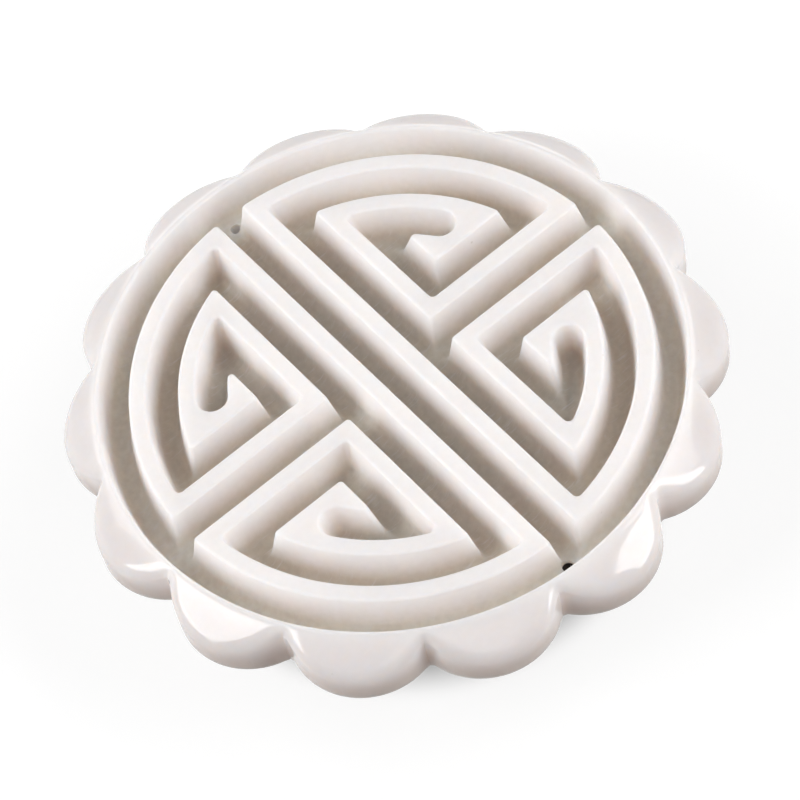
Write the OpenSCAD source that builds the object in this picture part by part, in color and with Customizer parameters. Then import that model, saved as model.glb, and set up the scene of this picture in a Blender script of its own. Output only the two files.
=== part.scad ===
// Cookie stamp plate: a petalled disc with a raised fret, held from behind by a bayonet socket.
// The frame stands on the socket's lower face, with the fret's two long bars along Y.

/* [Petal disc] */
// Diameter over the petal tips
plate_d = 70; // [50:1:90]
// Thickness of the disc from its back to the rim edge
plate_t = 6.2; // [5:0.1:9]
// Number of petals round the edge
petal_count = 14; // [8:1:20]
// Radius of one petal's outline
petal_r = 7.9; // [6.5:0.1:10]
// Fall of the petal tops towards the outside, in degrees
petal_slope = 35; // [10:1:50]
// Angle of the first petal's middle from +X, in degrees
petal_turn = 17.9; // [0:0.1:25]

/* [Fret] */
// Radius of the rim edge round the recess
rim_r = 30.7; // [24:0.1:34]
// Width of the flat land on top of the rim, between the recess and the petals
rim_land = 0.3; // [0.1:0.05:0.8]
// Width of the groove between the rim and the fret
ring_groove_w = 3.35; // [2.5:0.05:4.5]
// Width of a groove at the rib tops
groove_w = 3.42; // [2.5:0.02:4]
// Width of a rib's top
rib_w = 1.79; // [1.2:0.01:2.4]
// Depth of the grooves
groove_depth = 4.5; // [2:0.1:4.8]
// Draft of the rib walls, in degrees
wall_draft = 9; // [3:1:14]
// Radius between a wall and the floor of a straight groove
straight_fillet = 0.8; // [0.2:0.05:1]
// Radius between a wall and the floor of a round groove, not the same as in a straight one
round_fillet = 0.95; // [0.25:0.05:1.05]
// Angle of the closed end of the inmost groove, in degrees from the X axis
hook_angle = 33.7; // [28:0.1:40]

/* [Vents] */
// Diameter of a vent hole
vent_d = 1.3; // [0.8:0.1:2]
// Angle of a vent from the Y axis, in degrees
vent_turn = 1.8; // [0:0.1:3]

/* [Coupling] */
// Outer diameter of the seat ring on the disc's back
seat_d = 44; // [38:1:48]
// Height of the seat ring
seat_h = 3; // [2:0.5:5]
// Diameter of the socket's flange
flange_d = 42; // [38:1:46]
// Thickness of the flange
flange_t = 2; // [1.5:0.1:3]
// Bore of the socket
socket_bore_d = 22; // [16:1:24]
// Wall of the socket
socket_wall = 3; // [2:0.5:4]
// Length of the socket below its flange
socket_h = 8; // [7:0.5:14]
// Width of a bayonet slot, across the lug that runs in it
slot_w = 3.8; // [3:0.1:4.5]
// Turn of the bayonet from entry to lock, in degrees
slot_turn = 19; // [15:1:22]
// Height of the lip that the lug locks behind
slot_lip = 2.4; // [2:0.1:3]

/* [Screws] */
// Number of screws
screw_count = 4; // [3:1:6]
// Diameter of the circle through the screws
screw_pcd = 35; // [34:0.5:36]
// Diameter of a screw's shank over its thread
screw_d = 2.2; // [1.8:0.1:2.6]
// Length of a screw under its head
screw_l = 5.5; // [4.5:0.1:5.8]
// Diameter of a screw's head
screw_head_d = 4.2; // [3.6:0.1:5]
// Height of a screw's head
screw_head_h = 1.5; // [1.2:0.1:2]
// Room round a screw's shank in its pilot hole
pilot_clear = 0.03; // [0.02:0.01:0.1]
// Room round a screw's shank in the flange
flange_clear = 0.15; // [0.1:0.05:0.3]

/* [Hidden] */
$fn = 96;

// How far cutters run past the face that they cut
over = 1;
// Straight steps in the fillet of a groove floor
fillet_steps = 3;
// Depth left in a pilot hole past the screw's point
pilot_spare = 0.4;

// Heights, from the face that the part stands on
flange_z = socket_h;
seat_z = flange_z + flange_t;
back_z = seat_z + seat_h;
face_z = back_z + plate_t;

// Petals: their centres and spacing, and where their tops start to fall
tip_r = plate_d / 2;
petal_centre_r = tip_r - petal_r;
petal_step = 360 / petal_count;
crest_r = rim_r + rim_land;
seam_r = rim_r + rim_land / 2;
socket_d = socket_bore_d + 2 * socket_wall;

// Fret, worked out from the rim and from the middle in steps of rib and groove
draft_slope = tan(wall_draft);
outer_rib_r = rim_r - ring_groove_w;
outer_rib_in_r = outer_rib_r - rib_w;
inner_rib_r = outer_rib_in_r - groove_w;
inner_rib_in_r = inner_rib_r - rib_w;
hook_r = inner_rib_in_r - groove_w;
channel_half = groove_w / 2;
bar_side = channel_half + rib_w;
upright_in = bar_side + groove_w;
upright_out = upright_in + rib_w;
block_side = upright_out + groove_w;
beam_side = channel_half + rib_w;
block_end = beam_side + groove_w;
vent_r = rim_r - ring_groove_w / 2 - vent_d / 2;

// Points of a groove's wall and floor fillet, from the top down, for a wall whose top edge is at 0.
// They are kept to whole microns, so that walls of different grooves meet without slivers.
function micron(v) = round(1000 * v) / 1000;
function wall_points(fillet) = concat(
    [[micron(-over * draft_slope), over]],
    let (centre = [groove_depth * draft_slope + fillet * tan(45 - wall_draft / 2), fillet - groove_depth])
    [for (i = [0 : fillet_steps])
        let (a = 180 + wall_draft + i * (90 - wall_draft) / fillet_steps)
        let (p = centre + fillet * [cos(a), sin(a)])
        [micron(p[0]), micron(p[1])]]
);
function shifted(points, x) = [for (p = points) [x + p[0], p[1]]];
function flipped(points, x) = [for (i = [len(points) - 1 : -1 : 0]) [x - points[i][0], points[i][1]]];

// Section of a groove between two top edges, of the room beyond a straight edge, and of a round room
module groove_section(low, high, fillet) {
    polygon(concat(shifted(wall_points(fillet), low), flipped(wall_points(fillet), high)));
}
module room_section(edge, reach) {
    polygon(concat(shifted(wall_points(straight_fillet), edge), [[reach, -groove_depth], [reach, over]]));
}
module disc_section(edge_r) {
    polygon(concat([[0, over], [0, -groove_depth]], flipped(wall_points(round_fillet), edge_r)));
}

// Straight groove along Y, between two distances from the Y axis
module upright_groove(low, high) {
    translate([0, tip_r, 0]) rotate([90, 0, 0]) linear_extrude(plate_d)
        groove_section(low, high, straight_fillet);
}

// Straight groove along X, between two distances from the X axis
module level_groove(low, high) {
    rotate(90) mirror([0, 1, 0]) upright_groove(low, high);
}

// Groove round the middle, between two radii
module round_groove(low, high) {
    rotate_extrude() groove_section(low, high, round_fillet);
}

// All the room inside a radius, to the right of an upright wall, or above a level one
module inside(edge_r) {
    rotate_extrude() disc_section(edge_r);
}
module right_of(edge) {
    translate([0, tip_r, 0]) rotate([90, 0, 0]) linear_extrude(plate_d) room_section(edge, tip_r);
}
module above(edge) {
    rotate(90) mirror([0, 1, 0]) right_of(edge);
}

// Inmost groove: an arc from a round end to the upright rib
module hook_groove() {
    mid_r = (hook_r + inner_rib_in_r) / 2;
    intersection() {
        rotate(hook_angle) {
            rotate_extrude(angle = 60) groove_section(hook_r, inner_rib_in_r, round_fillet);
            translate([mid_r, 0, 0]) rotate(180)
                rotate_extrude(angle = 180) disc_section(groove_w / 2);
        }
        right_of(upright_out);
    }
}

// Grooves of one quarter, next to the +X and +Y axes
module quarter_grooves() {
    intersection() {
        round_groove(inner_rib_r, outer_rib_in_r);
        right_of(bar_side);
        above(beam_side);
    }
    intersection() {
        level_groove(beam_side, block_end);
        right_of(upright_out);
        inside(outer_rib_in_r);
    }
    intersection() {
        upright_groove(upright_out, block_side);
        above(beam_side);
        inside(inner_rib_in_r);
    }
    hook_groove();
}

// Grooves that both quarters of one half share
module half_grooves() {
    intersection() {
        upright_groove(bar_side, upright_in);
        inside(outer_rib_in_r);
    }
    intersection() {
        level_groove(-channel_half, channel_half);
        right_of(bar_side);
        inside(rim_r);
    }
    quarter_grooves();
    mirror([0, 1, 0]) quarter_grooves();
}

// The whole fret, as the room between its ribs, with the rim plane at height 0
module fret_grooves() {
    round_groove(outer_rib_r, rim_r);
    intersection() {
        upright_groove(-channel_half, channel_half);
        inside(rim_r);
    }
    half_grooves();
    mirror([1, 0, 0]) half_grooves();
}

// Ring of petals round the rim, whose tops fall outwards from the rim's land
module petal_ring() {
    fall = (tip_r - crest_r) * tan(petal_slope);
    difference() {
        intersection() {
            translate([0, 0, -over]) {
                cylinder(h = plate_t + 2 * over, r = petal_centre_r);
                for (i = [0 : petal_count - 1])
                    rotate(petal_turn + i * petal_step)
                        translate([petal_centre_r, 0, 0]) cylinder(h = plate_t + 2 * over, r = petal_r);
            }
            rotate_extrude()
                polygon([[0, 0], [tip_r, 0], [tip_r, plate_t - fall], [crest_r, plate_t], [0, plate_t]]);
        }
        translate([0, 0, -over]) cylinder(h = plate_t + 2 * over, r = seam_r);
    }
}

// Disc inside the petals, with the fret cut into its face
module fret_disc() {
    difference() {
        cylinder(h = plate_t, r = seam_r);
        translate([0, 0, plate_t]) fret_grooves();
    }
}

// Ring on the back that the socket's flange is screwed to
module seat_ring() {
    difference() {
        cylinder(h = seat_h, d = seat_d);
        translate([0, 0, -over]) cylinder(h = seat_h + 2 * over, d = socket_d);
    }
}

// Copies of a child at each screw
module at_screws() {
    for (i = [0 : screw_count - 1])
        rotate(45 + i * 360 / screw_count) translate([screw_pcd / 2, 0, 0]) children();
}

module stamp_plate() color("white") {
    pilot_depth = screw_l - flange_t + pilot_spare;
    difference() {
        union() {
            translate([0, 0, back_z]) fret_disc();
            translate([0, 0, back_z]) petal_ring();
            translate([0, 0, seat_z]) seat_ring();
        }
        for (side = [0, 180])
            rotate(90 - vent_turn + side) translate([vent_r, 0, back_z - over])
                cylinder(h = plate_t, d = vent_d);
        at_screws() translate([0, 0, seat_z - over])
            cylinder(h = pilot_depth + over, d = screw_d + 2 * pilot_clear);
    }
}

// One bayonet slot: a way in from below, then a run to the lock
module bayonet_slot() {
    run_h = socket_h - slot_lip;
    half_angle = asin(slot_w / socket_bore_d);
    far = socket_d;
    translate([0, -slot_w / 2, -over]) cube([far, slot_w, socket_h + over]);
    translate([0, 0, slot_lip])
        linear_extrude(run_h)
            polygon([
                [0, 0],
                far * [cos(half_angle), -sin(half_angle)],
                far * [1, 0],
                far * [cos(slot_turn + half_angle), sin(slot_turn + half_angle)]
            ]);
}

module coupling_socket() color("white") {
    difference() {
        union() {
            cylinder(h = socket_h + flange_t, d = socket_d);
            translate([0, 0, flange_z]) cylinder(h = flange_t, d = flange_d);
        }
        translate([0, 0, -over]) cylinder(h = seat_z + 2 * over, d = socket_bore_d);
        for (side = [90, 270]) rotate(side) bayonet_slot();
        at_screws() translate([0, 0, flange_z - over])
            cylinder(h = flange_t + 2 * over, d = screw_d + 2 * flange_clear);
    }
}

// Pan head with a cross recess, on a plain shank with a short point
module screw() {
    edge_h = screw_head_h / 2;
    point_h = screw_d / 2;
    recess_w = screw_head_d / 6;
    recess_l = screw_head_d * 0.6;
    recess_t = screw_head_h * 0.55;
    difference() {
        rotate_extrude()
            polygon([
                [0, -screw_head_h],
                [screw_head_d * 0.36, -screw_head_h],
                [screw_head_d / 2, -edge_h],
                [screw_head_d / 2, 0],
                [screw_d / 2, 0],
                [screw_d / 2, screw_l - point_h],
                [screw_d / 4, screw_l],
                [0, screw_l]
            ]);
        for (turn = [0, 90])
            rotate(turn) translate([-recess_l / 2, -recess_w / 2, -screw_head_h - over])
                cube([recess_l, recess_w, recess_t + over]);
    }
}

module socket_screws() color("silver") {
    at_screws() translate([0, 0, flange_z]) screw();
}

stamp_plate();
coupling_socket();
socket_screws();
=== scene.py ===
import math

import bmesh
import bpy
from mathutils import Matrix, Vector


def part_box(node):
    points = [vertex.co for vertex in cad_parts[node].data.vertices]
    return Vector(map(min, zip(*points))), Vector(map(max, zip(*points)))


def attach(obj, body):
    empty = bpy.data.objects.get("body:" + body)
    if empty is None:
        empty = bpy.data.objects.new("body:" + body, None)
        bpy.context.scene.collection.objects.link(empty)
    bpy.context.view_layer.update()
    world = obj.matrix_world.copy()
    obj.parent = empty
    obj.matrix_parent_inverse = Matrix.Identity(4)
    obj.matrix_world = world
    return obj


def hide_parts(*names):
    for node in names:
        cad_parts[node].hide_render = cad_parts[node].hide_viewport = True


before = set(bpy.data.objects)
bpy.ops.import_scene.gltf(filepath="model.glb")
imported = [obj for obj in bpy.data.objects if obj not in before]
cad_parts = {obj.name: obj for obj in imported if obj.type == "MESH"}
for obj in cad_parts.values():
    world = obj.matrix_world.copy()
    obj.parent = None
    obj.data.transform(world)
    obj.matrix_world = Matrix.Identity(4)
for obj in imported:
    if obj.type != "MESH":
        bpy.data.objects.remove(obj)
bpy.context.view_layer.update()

# Stamp plate, the fret: one moulding in warm white plastic, whose ribs stand in a round recess.
# The mould's grooves are milled with a tapered ball cutter, so the ribs lean and the floors are round.
MM = 0.001
plate_low, plate_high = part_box("stamp_plate")
plate_thickness = 6.2 * MM
face_z = plate_high.z
seat_z = plate_low.z
back_z = face_z - plate_thickness
rim_r = 30.7 * MM
ring_groove_w = 3.35 * MM
groove_w = 3.42 * MM
rib_w = 1.79 * MM
groove_depth = 4.5 * MM
wall_draft = math.radians(9)
floor_fillet = 0.95 * MM
rib_round = 0.35 * MM
top_land = 0.05 * MM
outside_corner_r = 0.4 * MM
inside_corner_r = 0.62 * MM
hook_angle = math.radians(33.7)
fillet_steps = 6
round_steps = 6
corner_steps = 5
outer_steps = 44
outer_in_steps = 28
inner_steps = 22
inner_in_steps = 9
hook_steps = 3
hook_end_steps = 6
weld = 0.001 * MM


def groove_wall():
    """Runs and heights of a groove's wall, from the floor up, measured from the edge at the rib tops."""
    slope = math.tan(wall_draft)
    foot = groove_depth * slope + floor_fillet * math.tan(math.pi / 4 - wall_draft / 2)
    swing = math.pi / 2 - wall_draft
    points = []
    for i in range(fillet_steps + 1):
        a = 1.5 * math.pi - swing * i / fillet_steps
        points.append((foot + floor_fillet * math.cos(a), floor_fillet * (1 + math.sin(a)) - groove_depth))
    round_x = rib_round * (slope - 1 / math.cos(wall_draft))
    for i in range(round_steps + 1):
        a = wall_draft + swing * i / round_steps
        points.append((round_x + rib_round * math.cos(a), rib_round * (math.sin(a) - 1)))
    return points


def rib_edges(swell):
    """Edges of a quarter of the ribs in order: at an x, a y or a radius r, with the steps along them."""
    bar_in = groove_w / 2 - swell
    bar_out = groove_w / 2 + rib_w + swell
    upright_in = groove_w * 1.5 + rib_w - swell
    upright_out = groove_w * 1.5 + rib_w * 2 + swell
    block_in = groove_w * 2.5 + rib_w * 2 - swell
    outer_r = rim_r - ring_groove_w + swell
    outer_in_r = rim_r - ring_groove_w - rib_w - swell
    inner_r = rim_r - ring_groove_w - rib_w - groove_w + swell
    inner_in_r = rim_r - ring_groove_w - rib_w * 2 - groove_w - swell
    hook_r = rim_r - ring_groove_w - rib_w * 2 - groove_w * 2 + swell
    going_in = [
        ("x", bar_in, 1),
        ("r", outer_r, outer_steps),
        ("y", bar_in, 1),
        ("x", upright_in, 1),
        ("r", inner_r, inner_steps),
        ("y", upright_in, 1),
        ("x", block_in, 1),
        ("r", hook_r, hook_steps),
    ]
    coming_out = [
        ("r", inner_in_r, inner_in_steps),
        ("x", upright_out, 1),
        ("y", bar_out, 1),
        ("r", outer_in_r, outer_in_steps),
        ("x", bar_out, 1),
    ]
    return going_in, coming_out


def crossing(edge_a, edge_b):
    """Where two edges of the ribs cross."""
    known = {edge_a[0]: edge_a[1], edge_b[0]: edge_b[1]}
    x = known["x"] if "x" in known else math.sqrt(known["r"] ** 2 - known["y"] ** 2)
    y = known["y"] if "y" in known else math.sqrt(known["r"] ** 2 - known["x"] ** 2)
    return Vector((x, y))


def nearest(edge, point):
    """The point of an edge that lies nearest to another point."""
    if edge[0] == "x":
        return Vector((edge[1], point.y))
    if edge[0] == "y":
        return Vector((point.x, edge[1]))
    return point.normalized() * edge[1]


def line_to(bm, end, spot):
    """Runs an outline straight on to a spot."""
    new = bmesh.ops.extrude_vert_indiv(bm, verts=[end])["verts"][0]
    new.co.xy = spot
    return new


def arc_to(bm, end, spot, steps, centre=Vector((0, 0))):
    """Swings an outline's end about a centre, the shorter way round, to a spot."""
    turn = -(end.co.xy - centre).angle_signed(spot - centre)
    pivot = (*centre, end.co.z)
    swept = bmesh.ops.spin(bm, geom=[end], cent=pivot, axis=(0, 0, 1), angle=turn, steps=steps)
    return [v for v in swept["geom_last"] if isinstance(v, bmesh.types.BMVert)][0]


def run_along(bm, end, edges, other_edges):
    """Follows edges of the ribs, with corners rounded about the corners of wider or narrower ribs."""
    for i in range(len(edges) - 1):
        centre = crossing(other_edges[i], other_edges[i + 1])
        spot = nearest(edges[i], centre)
        if edges[i][0] == "r":
            end = arc_to(bm, end, spot, edges[i][2])
        else:
            end = line_to(bm, end, spot)
        end = arc_to(bm, end, nearest(edges[i + 1], centre), corner_steps, centre)
    return end


def rib_outline(bm, swell, z):
    """Draws the outline of half the ribs, a bar with a spiral at each end, and returns its edges."""
    before = set(bm.edges)
    going_in, coming_out = rib_edges(swell)
    start = bm.verts.new((going_in[0][1], 0, z))
    end = run_along(bm, start, going_in, rib_edges(swell - outside_corner_r)[0])
    along = Vector((math.cos(hook_angle), math.sin(hook_angle)))
    near_r = going_in[-1][1]
    far_r = coming_out[0][1]
    hook_end = along * (near_r + far_r) / 2
    blind = hook_end + Vector((along.y, -along.x)) * (far_r - near_r) / 2
    end = arc_to(bm, end, along * near_r, going_in[-1][2])
    end = arc_to(bm, end, blind, hook_end_steps, hook_end)
    end = arc_to(bm, end, along * far_r, hook_end_steps, hook_end)
    end = run_along(bm, end, coming_out, rib_edges(swell + inside_corner_r)[1])
    line_to(bm, end, Vector((coming_out[-1][1], 0)))
    drawn = [e for e in bm.edges if e not in before]
    points = list({v for e in drawn for v in e.verts})
    bmesh.ops.mirror(bm, geom=points + drawn, matrix=Matrix(), merge_dist=weld, axis="Y")
    return [e for e in bm.edges if e not in before]


def swing_round(bm, verts, turn):
    """Turns points about the part's axis."""
    bmesh.ops.rotate(bm, verts=verts, cent=(0, 0, 0), matrix=Matrix.Rotation(turn, 3, "Z"))


def repeat_round(bm, geom, turn):
    """Copies a shape and turns the copy about the part's axis."""
    copy = bmesh.ops.duplicate(bm, geom=geom)["geom"]
    swing_round(bm, [v for v in copy if isinstance(v, bmesh.types.BMVert)], turn)


wall = groove_wall()
plate_mesh = bmesh.new()
levels = [rib_outline(plate_mesh, run, face_z + height) for run, height in wall]
for lower, upper in zip(levels, levels[1:]):
    bmesh.ops.bridge_loops(plate_mesh, edges=lower + upper)
rib_top = bmesh.ops.edgeloop_fill(plate_mesh, edges=levels[-1])["faces"]
bmesh.ops.recalc_face_normals(plate_mesh, faces=plate_mesh.faces[:])
bmesh.ops.inset_region(plate_mesh, faces=rib_top, thickness=top_land, use_boundary=True, use_even_offset=True)
half_ribs = plate_mesh.verts[:] + plate_mesh.edges[:] + plate_mesh.faces[:]
repeat_round(plate_mesh, half_ribs, math.pi)

# Stamp plate, the rim: the same moulding goes on into fourteen petals, polished brighter than the fret.
# A petal is a round lobe whose top falls outwards and rolls over into an upright side.
# Its back is flat, with a raised ring that the socket is screwed to.
petal_count = 14
petal_r = 7.9 * MM
petal_centre_r = 27.1 * MM
petal_step = 2 * math.pi / petal_count
petal_turn = math.radians(17.9)
petal_slope = math.tan(math.radians(35))
crest_r = rim_r + 0.32 * MM
crest_ease = 0.3 * MM
edge_round = 1.1 * MM
edge_ease = 0.7 * MM
notch_ease = 0.7 * MM
foot_round = 0.25 * MM
back_edge_r = 29.5 * MM
seat_r = 22 * MM
seat_in_r = 14 * MM
seat_round = 0.3 * MM
petal_rows = 16
row_crowding = 1.8
side_rows = 4
foot_rows = 3
petal_columns = 32
halvings = 24


def petal_depth(r, angle):
    """How far inside the petals' outline a point lies, with the notches between petals eased."""
    low = math.floor((angle - petal_turn) / petal_step)
    depths = []
    for i in (low, low + 1):
        off = angle - petal_turn - i * petal_step
        reach = math.sqrt(r**2 + petal_centre_r**2 - 2 * r * petal_centre_r * math.cos(off))
        depths.append(petal_r - reach)
    near = max(0, notch_ease - abs(depths[0] - depths[1])) / notch_ease
    return max(depths) + near**2 * notch_ease / 4


def outline_r(angle):
    """Radius of the petals' outline in one direction."""
    low = crest_r
    high = petal_centre_r + petal_r
    for _ in range(halvings):
        middle = (low + high) / 2
        if petal_depth(middle, angle) > 0:
            low = middle
        else:
            high = middle
    return low


def petal_top(r, angle):
    """Height of a petal's top: it falls outwards from the crest and rolls over at the outline."""
    out = max(0, r - crest_r)
    fall = petal_slope * out**2 / (out + crest_ease)
    short = max(0, edge_round - max(0, petal_depth(r, angle)))
    roll = edge_round - math.sqrt(max(0, edge_round**2 - short**2))
    share = min(1, out / edge_ease)
    return face_z - fall - roll * share**2 * (3 - 2 * share)


def string_points(bm, spots):
    """Strings the points of a section together, each given by its radius and height."""
    chain = [bm.verts.new((spots[0][0], 0, spots[0][1]))]
    for r, z in spots[1:]:
        chain.append(bmesh.ops.extrude_vert_indiv(bm, verts=[chain[-1]])["verts"][0])
        chain[-1].co = (r, 0, z)
    return chain


def spin_full(bm, geom, steps):
    """Spins a section into a full round."""
    bmesh.ops.spin(
        bm,
        geom=geom,
        cent=(0, 0, 0),
        axis=(0, 0, 1),
        angle=2 * math.pi,
        steps=steps,
        use_merge=True,
    )


# The section's points carry shares: how far out to the petals' outline, down their side and in at the foot.
out_share = plate_mesh.verts.layers.float.new("out_share")
down_share = plate_mesh.verts.layers.float.new("down_share")
tuck_share = plate_mesh.verts.layers.float.new("tuck_share")
section = [(rim_r - run, face_z + height, 0, 0, 0) for run, height in wall]
section.append((crest_r, face_z, 0, 0, 0))
side_r = crest_r + petal_rows * MM
for i in range(1, petal_rows + 1):
    section.append((crest_r + i * MM, face_z, 1 - (1 - i / petal_rows) ** row_crowding, 0, 0))
for i in range(1, side_rows + 1):
    section.append((side_r, face_z - i * MM, 1, i / side_rows, 0))
for i in range(1, foot_rows + 1):
    a = i / foot_rows * math.pi / 2
    section.append((side_r, face_z - (side_rows + i) * MM, 1, 1 + math.sin(a), 1 - math.cos(a)))
seat_spots = [
    (back_edge_r, back_z),
    (seat_r + seat_round, back_z),
    (seat_r, back_z - seat_round),
    (seat_r, seat_z + seat_round),
    (seat_r - seat_round, seat_z),
    (seat_in_r + seat_round, seat_z),
    (seat_in_r, seat_z + seat_round),
    (seat_in_r, back_z - seat_round),
    (seat_in_r - seat_round, back_z),
    (seat_in_r / 2, back_z),
]
section += [(r, z, 0, 0, 0) for r, z in seat_spots]

ribs = set(plate_mesh.verts)
chain = string_points(plate_mesh, [spot[:2] for spot in section])
for v, spot in zip(chain, section):
    v[out_share], v[down_share], v[tuck_share] = spot[2:]
strung = [e for e in plate_mesh.edges if not e.link_faces]
spin_full(plate_mesh, chain + strung, petal_count * petal_columns)
for v in plate_mesh.verts:
    if v in ribs or v[out_share] == 0:
        continue
    angle = math.atan2(v.co.y, v.co.x)
    r = crest_r + (outline_r(angle) - crest_r) * v[out_share]
    z = petal_top(r, angle)
    z += (back_z + foot_round - z) * min(1, v[down_share]) - foot_round * max(0, v[down_share] - 1)
    r -= foot_round * v[tuck_share]
    v.co = (r * math.cos(angle), r * math.sin(angle), z)

floor_edges = [e for e in plate_mesh.edges if e.is_boundary and e.verts[0].co.z > back_z + MM]
bmesh.ops.triangle_fill(plate_mesh, edges=floor_edges, use_beauty=True)
back_edges = [e for e in plate_mesh.edges if e.is_boundary]
bmesh.ops.edgeloop_fill(plate_mesh, edges=back_edges)
bmesh.ops.remove_doubles(plate_mesh, verts=plate_mesh.verts[:], dist=weld)
bmesh.ops.recalc_face_normals(plate_mesh, faces=plate_mesh.faces[:])

# Stamp plate, the holes: two vents let air out from under the dough, at the ends of the middle groove.
# Four blind pilot holes in the raised ring take the screws.
vent_d = 1.3 * MM
vent_r = rim_r - ring_groove_w / 2 - vent_d / 2
vent_skew = math.radians(1.8)
vent_turns = (math.pi / 2 - vent_skew, 1.5 * math.pi - vent_skew)
screw_r = 17.5 * MM
screw_count = 4
screw_turns = [math.radians(45 + i * 360 / screw_count) for i in range(screw_count)]
pilot_d = 2.26 * MM
pilot_depth = 3.9 * MM
past = 1 * MM
hole_steps = 32
plate_crease = math.radians(40)


def drill(bm, diameter, r, turn, low, high):
    """Adds a round cutter that stands upright at a radius and a turn from +X."""
    place = Matrix.Translation((r * math.cos(turn), r * math.sin(turn), (low + high) / 2))
    bmesh.ops.create_cone(
        bm,
        cap_ends=True,
        segments=hole_steps,
        radius1=diameter / 2,
        radius2=diameter / 2,
        depth=high - low,
        matrix=place,
    )


def piece_from(name, bm):
    """Makes a mesh object at the origin out of a finished bmesh."""
    data = bpy.data.meshes.new(name)
    bm.to_mesh(data)
    bm.free()
    piece = bpy.data.objects.new(name, data)
    bpy.context.scene.collection.objects.link(piece)
    return piece


def cut_away(piece, cutter_bm):
    """Takes a cutter's room out of a piece for good, and merges the slivers that the cut leaves."""
    cutter = piece_from("cutter", cutter_bm)
    cut = piece.modifiers.new("cut", "BOOLEAN")
    cut.operation = "DIFFERENCE"
    cut.solver = "EXACT"
    cut.object = cutter
    done = piece.evaluated_get(bpy.context.evaluated_depsgraph_get())
    rough = piece.data
    name = rough.name
    finished = bpy.data.meshes.new_from_object(done)
    piece.modifiers.remove(cut)
    piece.data = finished
    bpy.data.meshes.remove(rough)
    finished.name = name
    bpy.data.meshes.remove(cutter.data)
    bm = bmesh.new()
    bm.from_mesh(finished)
    bmesh.ops.remove_doubles(bm, verts=bm.verts[:], dist=weld)
    bmesh.ops.dissolve_degenerate(bm, edges=bm.edges[:], dist=weld)
    bm.to_mesh(finished)
    bm.free()


def smooth_over(piece, crease):
    """Shades a piece smooth, apart from edges that turn by more than the crease angle."""
    piece.data.shade_smooth()
    piece.data.set_sharp_from_angle(angle=crease)


plate = piece_from("stamp_plate_body", plate_mesh)
holes = bmesh.new()
for turn in vent_turns:
    drill(holes, vent_d, vent_r, turn, back_z - past, face_z - past)
for turn in screw_turns:
    drill(holes, pilot_d, screw_r, turn, seat_z - past, seat_z + pilot_depth)
cut_away(plate, holes)
smooth_over(plate, plate_crease)

# Plate plastic: dense white melamine-like moulding, painted with shade: darker and warmer in its depths, less
# so in the outer ring, where painted light stands for light that comes through the thin rim. The petals are
# painted darker and their sides darker still.
# The mould was polished round the petals and left spark-finished in the fret, which is satin with a fine
# grain, a few specks and scuffs, and the front vent is painted near black inside as painted shade.
rib_colour = (0.848, 0.81, 0.809, 1)
# Painted shade: the darker, warmer colour that the groove floors are painted.
groove_painted_shade = (0.74, 0.67, 0.573, 1)
# Painted light and shade: the outer ring groove is painted lighter than the others, for light that comes
# through the thin rim.
ring_painted_shade_and_light = (0.86, 0.806, 0.727, 1)
# Painted shade: the petals are painted darker than the rib tops.
petal_painted_shade = (0.785, 0.748, 0.75, 1)
# Painted shade: the petals' sides are painted darker.
skirt_painted_shade = (0.62, 0.53, 0.485, 1)
back_colour = (0.84, 0.81, 0.80, 1)
# Painted shade: the front vent's inside is painted near black.
vent_painted_shade = (0.008, 0.006, 0.005, 1)
speck_colour = (0.55, 0.50, 0.45, 1)
cloud_scale = 140.0
cloud_range = (0.35, 0.7)
cloud_strength = 0.22
mottle_scale = 1300.0
mottle_range = (0.35, 0.65)
mottle_strength = 0.65
mottle_shade = (0.87, 0.86, 0.84)
scuff_scale = (500, 4500, 500)
scuff_turn = 0.6
scuff_range = (0.57, 0.72)
scuff_strength = 0.55
speck_scale = 420.0
speck_size = (0.03, 0.075)
speck_strength = (0.15, 0.7)
smear_scale = 600.0
smear_range = (0.3, 0.7)
smear_finish = (-0.02, 0.03)
grain_scale = 7000.0
grain_height = 0.12
grain_when_polished = 0.08
wave_scale = 260.0
wave_height = 0.4
relief_strength = 0.25
relief_depth = 0.02 * MM
plastic_ior = 1.5
scatter_colour = (1.0, 0.85, 0.72)
scatter_depth = 4.5 * MM
# How fast the painted shade deepens towards the groove floors.
painted_shade_power = 2.8
rib_wear = 0.2
groove_wear_and_shade = 1.0
petal_wear = 0.15
ring_start = rim_r - ring_groove_w - rib_w
ring_end = rim_r - ring_groove_w
polish_start = rim_r - 0.05 * MM
polish_end = rim_r + 0.5 * MM
# Where the painted shade on the petals' sides begins and where it is full.
skirt_shade_start_z = face_z - groove_depth / 2
skirt_shade_end_z = back_z + 0.6 * MM
vent_z = face_z - groove_depth
behind_start_z = vent_z - 0.2 * MM
behind_end_z = vent_z - 0.5 * MM
vent_shade_r = 0.51 * vent_d


def node(tree, kind, sources=None, **settings):
    """Adds a node, sets it, and feeds its inputs from values or from other nodes' outputs."""
    new = tree.nodes.new(kind)
    for name, value in settings.items():
        setattr(new, name, value)
    for slot, value in (sources or {}).items():
        if isinstance(value, bpy.types.NodeSocket):
            tree.links.new(value, new.inputs[slot])
        else:
            new.inputs[slot].default_value = value
    return new


def figure(tree, operation, a, b=0.0):
    """Works out one number from two."""
    return node(tree, "ShaderNodeMath", {0: a, 1: b}, operation=operation).outputs[0]


def ramp(tree, value, low, high, out_low=0.0, out_high=1.0, smooth=False):
    """Maps a value from one range to another and stops at its ends."""
    sources = {"Value": value, "From Min": low, "From Max": high, "To Min": out_low, "To Max": out_high}
    kind = "SMOOTHSTEP" if smooth else "LINEAR"
    return node(tree, "ShaderNodeMapRange", sources, interpolation_type=kind).outputs["Result"]


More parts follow.
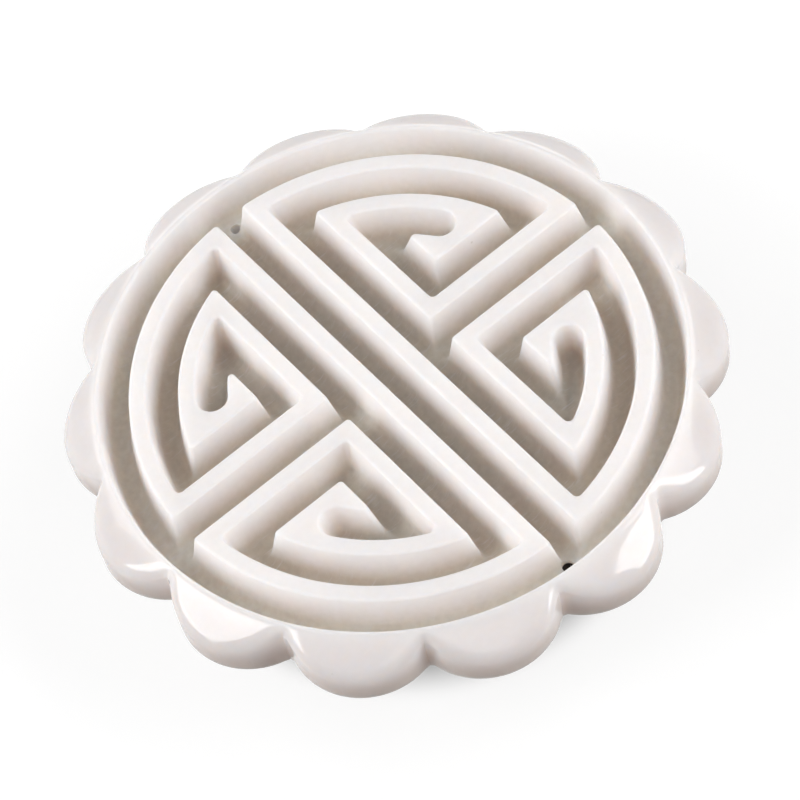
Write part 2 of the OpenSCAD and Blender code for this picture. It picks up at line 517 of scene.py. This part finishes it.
def noise(tree, place, scale, detail):
    """A cloudy pattern of one scale."""
    sources = {"Vector": place, "Scale": scale, "Detail": detail}
    return node(tree, "ShaderNodeTexNoise", sources).outputs["Fac"]


def blend_colours(tree, share, a, b):
    """Mixes two colours."""
    return node(tree, "ShaderNodeMix", {0: share, 6: a, 7: b}, data_type="RGBA").outputs[2]


def moulding_group():
    """Moulded plastic: cloudy colour, wear, specks, a spark-finish grain and slow waves of shrinkage."""
    group = bpy.data.node_groups.new("moulded_plastic", "ShaderNodeTree")
    taken = {
        "Vector": "NodeSocketVector",
        "Plastic": "NodeSocketColor",
        "Speck": "NodeSocketColor",
        "Fleck": "NodeSocketColor",
        "Specks": "NodeSocketFloat",
        "Wear": "NodeSocketFloat",
        "Polish": "NodeSocketFloat",
        "Satin": "NodeSocketFloat",
        "Gloss": "NodeSocketFloat",
    }
    put_out = {"Color": "NodeSocketColor", "Roughness": "NodeSocketFloat", "Height": "NodeSocketFloat"}
    for name, kind in taken.items():
        group.interface.new_socket(name, in_out="INPUT", socket_type=kind)
    for name, kind in put_out.items():
        group.interface.new_socket(name, in_out="OUTPUT", socket_type=kind)
    given = group.nodes.new("NodeGroupInput").outputs
    place = given["Vector"]

    cloud = ramp(group, noise(group, place, cloud_scale, detail=4.0), *cloud_range, 0.0, cloud_strength)
    mottle = ramp(group, noise(group, place, mottle_scale, detail=6.0), *mottle_range, 0.0, mottle_strength)
    uneven = figure(group, "ADD", cloud, figure(group, "MULTIPLY", mottle, given["Wear"]))
    shaded = {0: given["Plastic"], 1: mottle_shade}
    shaded = node(group, "ShaderNodeVectorMath", shaded, operation="MULTIPLY").outputs["Vector"]
    colour = blend_colours(group, uneven, given["Plastic"], shaded)
    strokes = {"Vector": place, "Rotation": (0, 0, scuff_turn), "Scale": scuff_scale}
    strokes = node(group, "ShaderNodeMapping", strokes).outputs["Vector"]
    scuff = ramp(group, noise(group, strokes, scale=1.0, detail=3.0), *scuff_range, 0.0, scuff_strength)
    colour = blend_colours(group, figure(group, "MULTIPLY", scuff, given["Wear"]), colour, given["Fleck"])

    cells = node(group, "ShaderNodeTexVoronoi", {"Vector": place, "Scale": speck_scale}).outputs
    lot = node(group, "ShaderNodeSeparateColor", {"Color": cells["Color"]}).outputs
    size = ramp(group, lot["Green"], 0.0, 1.0, *speck_size)
    strength = ramp(group, lot["Blue"], 0.0, 1.0, *speck_strength)
    dot = figure(group, "MULTIPLY", figure(group, "LESS_THAN", cells["Distance"], size), strength)
    dark = figure(group, "LESS_THAN", lot["Red"], given["Specks"])
    pale = figure(group, "GREATER_THAN", lot["Red"], figure(group, "SUBTRACT", 1.0, given["Specks"]))
    colour = blend_colours(group, figure(group, "MULTIPLY", dark, dot), colour, given["Speck"])
    colour = blend_colours(group, figure(group, "MULTIPLY", pale, dot), colour, given["Fleck"])

    dull = figure(group, "SUBTRACT", 1.0, given["Polish"])
    finish = figure(group, "MULTIPLY", given["Satin"], dull)
    finish = figure(group, "ADD", finish, figure(group, "MULTIPLY", given["Gloss"], given["Polish"]))
    smear = ramp(group, noise(group, place, smear_scale, detail=5.0), *smear_range, *smear_finish)
    finish = figure(group, "ADD", finish, smear)

    grain = figure(group, "MULTIPLY", noise(group, place, grain_scale, detail=2.0), grain_height)
    grain = figure(group, "MULTIPLY", grain, ramp(group, dull, 0.0, 1.0, grain_when_polished, 1.0))
    waves = figure(group, "MULTIPLY", noise(group, place, wave_scale, detail=1.0), wave_height)
    height = figure(group, "ADD", grain, waves)

    node(group, "NodeGroupOutput", {"Color": colour, "Roughness": finish, "Height": height})
    return group


def fresh_material(name):
    """Makes a material with a plain shader in it."""
    material = bpy.data.materials.new(name)
    material.use_nodes = True
    return material


def moulded(material, group, values):
    """Puts a moulding's group in a material and feeds its shader."""
    tree = material.node_tree
    made = node(tree, "ShaderNodeGroup", values, node_tree=group).outputs
    relief = {"Height": made["Height"], "Strength": relief_strength, "Distance": relief_depth}
    bump = node(tree, "ShaderNodeBump", relief).outputs["Normal"]
    shader = tree.nodes["Principled BSDF"]
    tree.links.new(made["Color"], shader.inputs["Base Color"])
    tree.links.new(made["Roughness"], shader.inputs["Roughness"])
    tree.links.new(bump, shader.inputs["Normal"])
    shader.inputs["IOR"].default_value = plastic_ior
    return shader


moulding = moulding_group()
plate_plastic = fresh_material("plate_plastic")
tree = plate_plastic.node_tree
spot = node(tree, "ShaderNodeTexCoord").outputs["Object"]
axes = node(tree, "ShaderNodeSeparateXYZ", {"Vector": spot}).outputs
flat_spot = node(tree, "ShaderNodeCombineXYZ", {"X": axes["X"], "Y": axes["Y"]}).outputs["Vector"]
radius = node(tree, "ShaderNodeVectorMath", {0: flat_spot}, operation="LENGTH").outputs["Value"]
polish = ramp(tree, radius, polish_start, polish_end, smooth=True)
# Painted shade: the colour turns darker and warmer with depth below the rib tops.
depth_painted_shade = figure(tree, "POWER", ramp(tree, axes["Z"], face_z, vent_z), painted_shade_power)
behind = ramp(tree, axes["Z"], behind_start_z, behind_end_z, smooth=True)
# Painted light: in the outer ring the groove shade is painted lighter, for light through the rim.
ring = ramp(tree, radius, ring_start, ring_end, smooth=True)
deep_painted_shade = blend_colours(tree, ring, groove_painted_shade, ring_painted_shade_and_light)
fret_colour = blend_colours(tree, depth_painted_shade, rib_colour, deep_painted_shade)
fret_colour = blend_colours(tree, behind, fret_colour, back_colour)
# Painted shade: the petals' sides turn darker downwards.
side = ramp(tree, axes["Z"], skirt_shade_start_z, skirt_shade_end_z, smooth=True)
foot = ramp(tree, axes["Z"], back_z + foot_round, back_z, smooth=True)
petal_edge_painted_shade = blend_colours(tree, side, petal_painted_shade, skirt_painted_shade)
petal_edge_painted_shade = blend_colours(tree, foot, petal_edge_painted_shade, back_colour)
plate_colour = blend_colours(tree, polish, fret_colour, petal_edge_painted_shade)
# Painted shade: the front vent's walls below the groove floor are painted near black and made fully rough.
front_vent = (vent_r * math.cos(vent_turns[1]), vent_r * math.sin(vent_turns[1]), 0)
gap = node(tree, "ShaderNodeVectorMath", {0: flat_spot, 1: front_vent}, operation="DISTANCE")
in_vent = figure(tree, "LESS_THAN", gap.outputs["Value"], vent_shade_r)
vent_shade_mask = figure(tree, "MULTIPLY", behind, in_vent)
plate_colour = blend_colours(tree, vent_shade_mask, plate_colour, vent_painted_shade)
# Mottling and scuffs grow with the painted depth shade, so they darken the grooves a little more: partly
# random tone, partly painted shade.
fret_wear_and_shade = ramp(tree, depth_painted_shade, 0.0, 1.0, rib_wear, groove_wear_and_shade)
plate_finish = {
    "Vector": spot,
    "Plastic": plate_colour,
    "Speck": speck_colour,
    "Fleck": rib_colour,
    "Specks": 0.10,
    "Wear": ramp(tree, polish, 0.0, 1.0, fret_wear_and_shade, petal_wear),
    "Polish": polish,
    "Satin": 0.62,
    "Gloss": 0.05,
}
shader = moulded(plate_plastic, moulding, plate_finish)
finish = shader.inputs["Roughness"].links[0].from_socket
tree.links.new(figure(tree, "MAXIMUM", finish, vent_shade_mask), shader.inputs["Roughness"])
shader.inputs["Subsurface Weight"].default_value = 1.0
shader.inputs["Subsurface Radius"].default_value = scatter_colour
shader.inputs["Subsurface Scale"].default_value = scatter_depth
plate.data.materials.append(plate_plastic)
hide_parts("stamp_plate")
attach(plate, "root")

# Coupling socket: a short tube with a flange, moulded in the same white plastic with a satin finish.
# A press's plunger enters it from behind, and its two lugs turn into the hooked slots and lock.
socket_low, socket_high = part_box("coupling_socket")
flange_z = seat_z - 2 * MM
flange_r = 21 * MM
socket_r = 14 * MM
bore_r = 11 * MM
socket_edge = 0.4 * MM
socket_edge_steps = 3
slot_w = 3.8 * MM
slot_lip = 2.4 * MM
slot_top = flange_z - 0.02 * MM
slot_reach = socket_r * 1.5
slot_turn = math.radians(19)
slot_corner = 0.5 * MM
slot_corner_steps = 4
flange_hole_d = 2.5 * MM
socket_steps = 128
socket_crease = math.radians(35)
socket_colour = (0.80, 0.765, 0.73, 1)


def round_off(bm, edges, size, steps):
    """Rounds edges off."""
    bmesh.ops.bevel(
        bm,
        geom=edges,
        offset=size,
        offset_type="OFFSET",
        segments=steps,
        profile=0.5,
        affect="EDGES",
        material=-1,
    )


def level_edges(edges):
    """Those of some edges that lie level."""
    return [e for e in edges if abs(e.verts[0].co.z - e.verts[1].co.z) < weld]


def reach_change(edge):
    """How much further from the axis one end of an edge lies than the other."""
    return abs(edge.verts[0].co.xy.length - edge.verts[1].co.xy.length)


socket_mesh = bmesh.new()
section = [
    (bore_r, socket_low.z),
    (socket_r, socket_low.z),
    (socket_r, flange_z),
    (flange_r, flange_z),
    (flange_r, socket_high.z),
    (bore_r, socket_high.z),
]
chain = string_points(socket_mesh, section)
bmesh.ops.contextual_create(socket_mesh, geom=[chain[0], chain[-1]])
spin_full(socket_mesh, socket_mesh.verts[:] + socket_mesh.edges[:], socket_steps)
bmesh.ops.recalc_face_normals(socket_mesh, faces=socket_mesh.faces[:])
rings = [e for e in level_edges(socket_mesh.edges) if reach_change(e) < weld]
round_off(socket_mesh, rings, socket_edge, socket_edge_steps)
socket = piece_from("coupling_socket_body", socket_mesh)

ways_in = bmesh.new()
bmesh.ops.create_cube(ways_in, size=1)
way_in_h = slot_top - socket_low.z + past
bmesh.ops.scale(ways_in, vec=(slot_w, 2 * slot_reach, way_in_h), verts=ways_in.verts[:])
bmesh.ops.translate(ways_in, vec=(0, 0, (slot_top + socket_low.z - past) / 2), verts=ways_in.verts[:])
cut_away(socket, ways_in)
locks = bmesh.new()
for turn in (math.pi / 2, 1.5 * math.pi):
    wedge = bmesh.ops.create_cube(locks, size=1)["verts"]
    end = [v for v in wedge if v.co.y > 0]
    bmesh.ops.scale(locks, vec=(slot_reach - bore_r / 2, 0, slot_top - slot_lip), verts=wedge)
    bmesh.ops.translate(locks, vec=((slot_reach + bore_r / 2) / 2, 0, (slot_top + slot_lip) / 2), verts=wedge)
    swing_round(locks, end, slot_turn + math.asin(slot_w / 2 / bore_r))
    swing_round(locks, wedge, turn)
    end_edges = [e for e in locks.edges if e.verts[0] in end and e.verts[1] in end]
    corners = [e for e in level_edges(end_edges) if reach_change(e) > MM]
    round_off(locks, corners, slot_corner, slot_corner_steps)
bmesh.ops.recalc_face_normals(locks, faces=locks.faces[:])
cut_away(socket, locks)
flange_holes = bmesh.new()
for turn in screw_turns:
    drill(flange_holes, flange_hole_d, screw_r, turn, flange_z - past, seat_z + past)
cut_away(socket, flange_holes)
smooth_over(socket, socket_crease)

socket_plastic = fresh_material("socket_plastic")
socket_finish = {
    "Vector": node(socket_plastic.node_tree, "ShaderNodeTexCoord").outputs["Object"],
    "Plastic": socket_colour,
    "Speck": speck_colour,
    "Fleck": rib_colour,
    "Specks": 0.05,
    "Wear": 0.3,
    "Polish": 0.1,
    "Satin": 0.45,
    "Gloss": 0.2,
}
moulded(socket_plastic, moulding, socket_finish)
socket.data.materials.append(socket_plastic)
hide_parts("coupling_socket")
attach(socket, "root")

# Socket screws: four small self-tapping pan heads in plain stainless steel, with a cross recess.
# They go up through the flange into the plate's pilot holes and cut their own thread.
screw_d = 2.2 * MM
screw_l = 5.5 * MM
head_d = 4.2 * MM
head_h = 1.5 * MM
head_side_h = 0.55 * MM
head_ease = 0.1 * MM
dome_fullness = 0.8
recess_w = 0.62 * MM
recess_l = 2.5 * MM
recess_depth = 0.85 * MM
recess_taper = (0.45, 0.7, 1)
dome_steps = 7
screw_steps = 40
screw_crease = math.radians(35)
bright_steel = (0.62, 0.61, 0.59, 1)
dull_steel = (0.52, 0.51, 0.50, 1)
bright_roughness = 0.26
dull_roughness = 0.4
steel_smear_scale = 1800.0

screw_mesh = bmesh.new()
section = []
for i in range(dome_steps + 1):
    a = i / dome_steps * math.pi / 2
    dome_r = head_d / 2 * math.sin(a) ** dome_fullness
    section.append((dome_r, -head_side_h - (head_h - head_side_h) * math.cos(a)))
section += [(head_d / 2, -head_ease), (head_d / 2 - head_ease, 0), (screw_d / 2, 0)]
section += [(screw_d / 2, screw_l - screw_d / 2), (screw_d / 4, screw_l), (0, screw_l)]
string_points(screw_mesh, section)
spin_full(screw_mesh, screw_mesh.verts[:] + screw_mesh.edges[:], screw_steps)
bmesh.ops.remove_doubles(screw_mesh, verts=screw_mesh.verts[:], dist=weld)
bmesh.ops.recalc_face_normals(screw_mesh, faces=screw_mesh.faces[:])
screws = piece_from("socket_screws_body", screw_mesh)
for turn in (0, math.pi / 2):
    blade = bmesh.new()
    bmesh.ops.create_cube(blade, size=1)
    tip = [v for v in blade.verts if v.co.z > 0]
    bmesh.ops.scale(blade, vec=(recess_l, recess_w, 2 * recess_depth), verts=blade.verts[:])
    bmesh.ops.scale(blade, vec=recess_taper, verts=tip)
    swing_round(blade, blade.verts[:], turn)
    bmesh.ops.translate(blade, vec=(0, 0, -head_h), verts=blade.verts[:])
    cut_away(screws, blade)
screw_mesh = bmesh.new()
screw_mesh.from_mesh(screws.data)
bmesh.ops.translate(screw_mesh, vec=(screw_r, 0, flange_z), verts=screw_mesh.verts[:])
swing_round(screw_mesh, screw_mesh.verts[:], screw_turns[0])
first_screw = screw_mesh.verts[:] + screw_mesh.edges[:] + screw_mesh.faces[:]
for turn in screw_turns[1:]:
    repeat_round(screw_mesh, first_screw, turn - screw_turns[0])
screw_mesh.to_mesh(screws.data)
screw_mesh.free()
smooth_over(screws, screw_crease)

screw_steel = fresh_material("screw_steel")
tree = screw_steel.node_tree
spot = node(tree, "ShaderNodeTexCoord").outputs["Object"]
smear = noise(tree, spot, steel_smear_scale, detail=4.0)
steel = blend_colours(tree, ramp(tree, smear, *smear_range), bright_steel, dull_steel)
finish = ramp(tree, smear, *smear_range, bright_roughness, dull_roughness)
shader = tree.nodes["Principled BSDF"]
tree.links.new(steel, shader.inputs["Base Color"])
tree.links.new(finish, shader.inputs["Roughness"])
shader.inputs["Metallic"].default_value = 1
screws.data.materials.append(screw_steel)
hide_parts("socket_screws")
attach(screws, "root")

# Floor: a plain white studio table. The camera and mirror-like surfaces see it lifted to white, with the
# part's soft shadow left on it and a painted shadow under the part, where the lift fades out; it throws
# little light back up at the part.
floor_half = 2
floor_shadow_r = 22 * MM
floor_clear_r = 29 * MM
floor_glow = 0.74
floor_white = (1, 1, 1, 1)
floor_lit_colour = (0.32, 0.32, 0.32, 1)
floor_dim_colour = (0.25, 0.22, 0.2, 1)
floor_mesh = bmesh.new()
bmesh.ops.create_grid(floor_mesh, x_segments=1, y_segments=1, size=floor_half)
floor = piece_from("floor", floor_mesh)


def seen_directly(tree):
    """Whether a ray comes straight from the camera, or by a mirror-like surface or through glass."""
    path = node(tree, "ShaderNodeLightPath").outputs
    mirrored = figure(tree, "MAXIMUM", path["Is Glossy Ray"], path["Is Transmission Ray"])
    return figure(tree, "MAXIMUM", path["Is Camera Ray"], mirrored)


table = fresh_material("floor")
tree = table.node_tree
tree.nodes.clear()
spot = node(tree, "ShaderNodeTexCoord").outputs["Object"]
away = node(tree, "ShaderNodeVectorMath", {0: spot}, operation="LENGTH").outputs["Value"]
# Painted shadow: the floor's white lift fades out under the part.
glow = ramp(tree, away, floor_shadow_r, floor_clear_r, 0.0, floor_glow, smooth=True)
glow = node(tree, "ShaderNodeEmission", {"Color": floor_white, "Strength": glow}).outputs[0]
lit = node(tree, "ShaderNodeBsdfDiffuse", {"Color": floor_lit_colour}).outputs[0]
lifted = node(tree, "ShaderNodeAddShader", {0: glow, 1: lit}).outputs[0]
dim = node(tree, "ShaderNodeBsdfDiffuse", {"Color": floor_dim_colour}).outputs[0]
top = node(tree, "ShaderNodeMixShader", {0: seen_directly(tree), 1: dim, 2: lifted}).outputs[0]
node(tree, "ShaderNodeOutputMaterial", {"Surface": top})
floor.data.materials.append(table)

# Light: white soft boxes that hang round the part, two large ones at its sides and four weaker ones.
# The room itself is dim, and the camera and mirror-like surfaces see it as white.
room_colour = (1, 1, 1, 1)
room_level = 0.02
world = bpy.data.worlds.new("room")
bpy.context.scene.world = world
world.use_nodes = True
tree = world.node_tree
background = tree.nodes["Background"]
background.inputs["Color"].default_value = room_colour
tree.links.new(ramp(tree, seen_directly(tree), 0.0, 1.0, room_level, 1.0), background.inputs["Strength"])


def soft_box(name, azimuth, elevation, distance, width, height, watts):
    """Hangs a rectangular lamp in one direction from the part, turned to face it."""
    data = bpy.data.lights.new(name, "AREA")
    data.shape = "RECTANGLE"
    data.size = width
    data.size_y = height
    data.energy = watts
    lamp = bpy.data.objects.new(name, data)
    bpy.context.scene.collection.objects.link(lamp)
    level = math.cos(math.radians(elevation))
    away = Vector((math.cos(math.radians(azimuth)) * level, math.sin(math.radians(azimuth)) * level, 0))
    away.z = math.sin(math.radians(elevation))
    lamp.location = away * distance
    lamp.rotation_euler = (-away).to_track_quat("-Z", "Y").to_euler()


soft_box("left_box", azimuth=167, elevation=30, distance=0.55, width=0.28, height=0.44, watts=2.18)
soft_box("right_box", azimuth=-54, elevation=20, distance=0.55, width=0.23, height=0.46, watts=2.04)
soft_box("front_fill", azimuth=-117, elevation=38, distance=0.6, width=0.3, height=0.3, watts=0.32)
soft_box("low_back", azimuth=63, elevation=15, distance=0.6, width=0.6, height=0.25, watts=0.95)
soft_box("right_back", azimuth=-15, elevation=45, distance=0.6, width=0.5, height=0.3, watts=1.23)
soft_box("left_back", azimuth=120, elevation=40, distance=0.6, width=0.35, height=0.35, watts=0.79)

# Camera: a long lens that looks down on the plate from the front, rolled as the photograph is.
# Its focal length and shift are in pixels of a frame of 800 by 800.
frame_px = 800
sensor_w = 36
focal_px = 3213.92
shift_right_px = 3.886
shift_up_px = -6.136
elevation = math.radians(56.467)
turn = math.radians(-27.4027)
roll = math.radians(14.5904)
camera_distance = 10.9148 * rim_r
aim_z = face_z - 0.1657 * rim_r
camera_data = bpy.data.cameras.new("camera")
camera_data.sensor_width = sensor_w
camera_data.lens = focal_px / frame_px * sensor_w
camera_data.shift_x = shift_right_px / frame_px
camera_data.shift_y = shift_up_px / frame_px
camera_data.clip_start = 0.01
camera_data.clip_end = 10
camera = bpy.data.objects.new("camera", camera_data)
bpy.context.scene.collection.objects.link(camera)
back = Vector((0, -math.cos(elevation), math.sin(elevation)))
right = Vector((1, 0, 0))
up = back.cross(right)
heading = Matrix.Rotation(turn, 3, "Z")
axis_x = heading @ (right * math.cos(roll) - up * math.sin(roll))
axis_y = heading @ (right * math.sin(roll) + up * math.cos(roll))
axis_z = heading @ back
camera.matrix_world = Matrix((axis_x, axis_y, axis_z)).transposed().to_4x4()
camera.location = axis_z * camera_distance + Vector((0, 0, aim_z))
bpy.context.scene.camera = camera
bpy.context.scene.view_settings.view_transform = "Standard"
